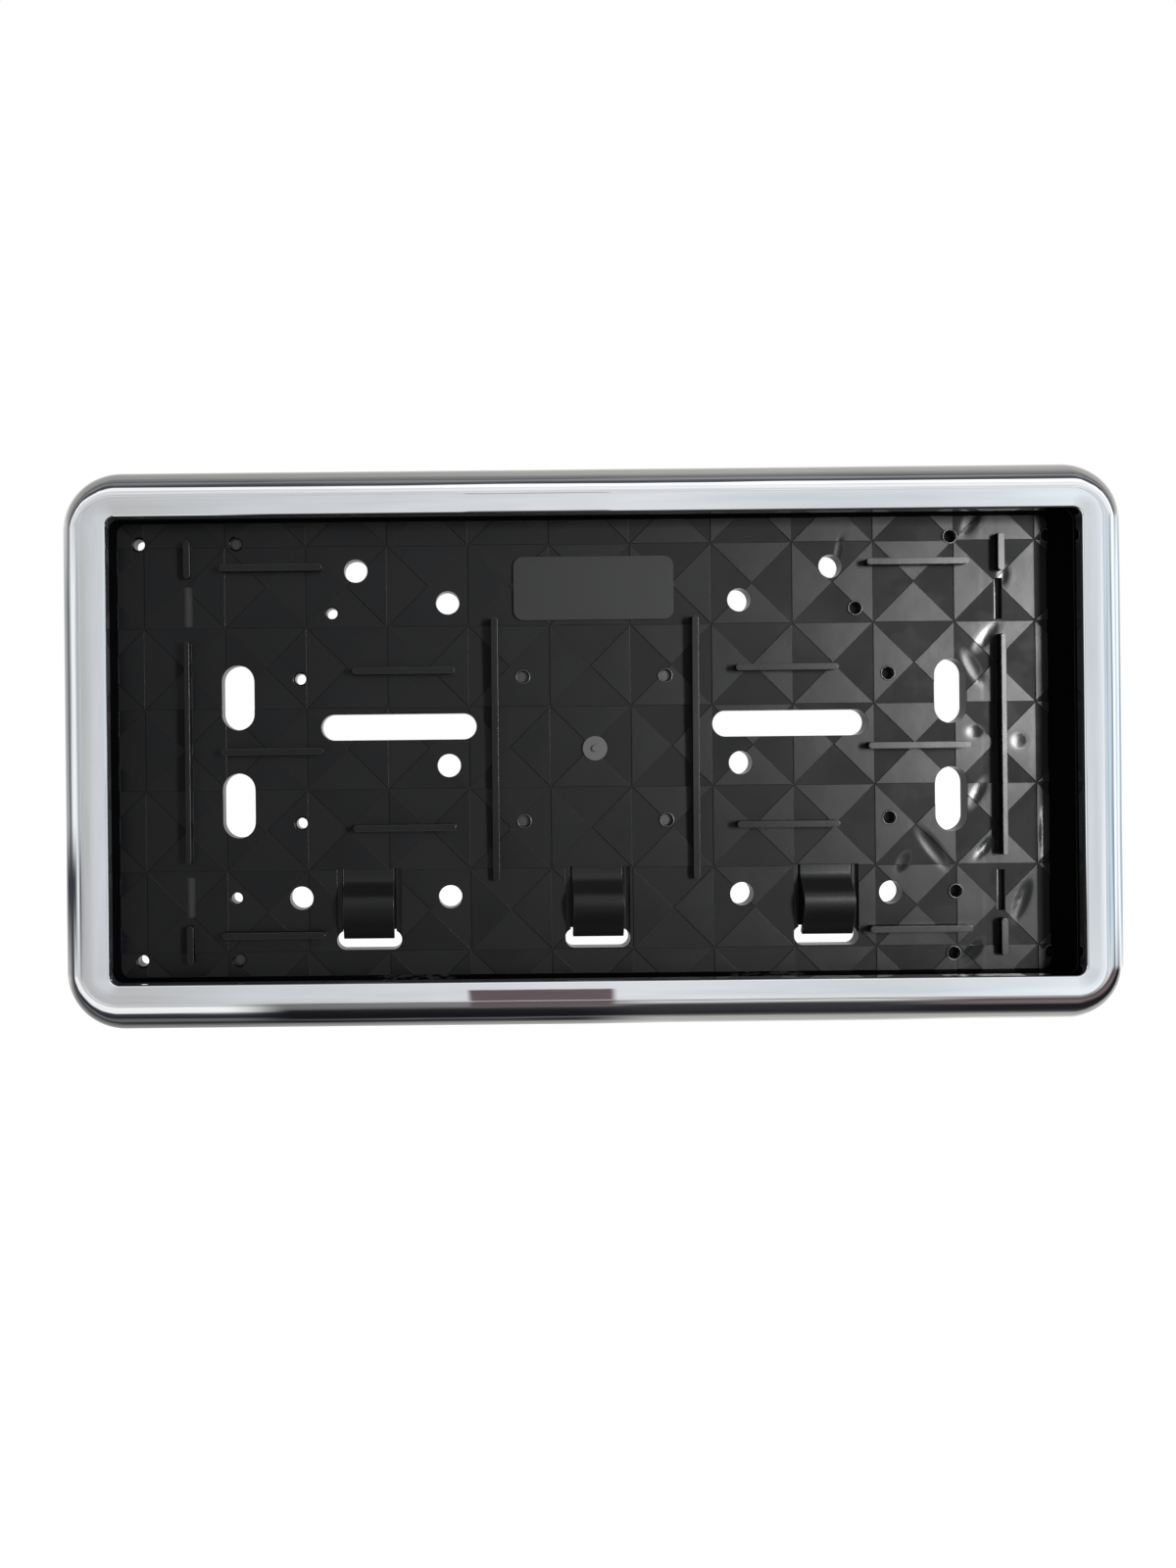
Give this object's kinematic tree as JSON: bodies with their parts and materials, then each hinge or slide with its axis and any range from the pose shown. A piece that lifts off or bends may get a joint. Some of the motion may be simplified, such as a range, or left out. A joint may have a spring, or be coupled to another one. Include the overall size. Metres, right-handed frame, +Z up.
{
  "type": "number plate holder",
  "caption": "Shallow black tray with bolt holes, slots, ribs and spring tongues behind a bright surround that clips over its rim and laps over the edge of a number plate.",
  "frame": {"origin": "centre of the square of bolt holes, on the plane that the back of the tray bears on", "axes": "+X to the right of someone facing the plate, +Y into the car, +Z up; the front faces -Y"},
  "size_m": [0.3216, 0.018, 0.1696],
  "materials": {
    "black_plastic": "moulded black polypropylene, satin, with a grid of triangles in two grains",
    "chrome_plating": "bright decorative chrome plating on plastic"
  },
  "bodies": {
    "root": {"tray": "black_plastic", "chrome_frame": "chrome_plating"}
  },
  "joints": []
}
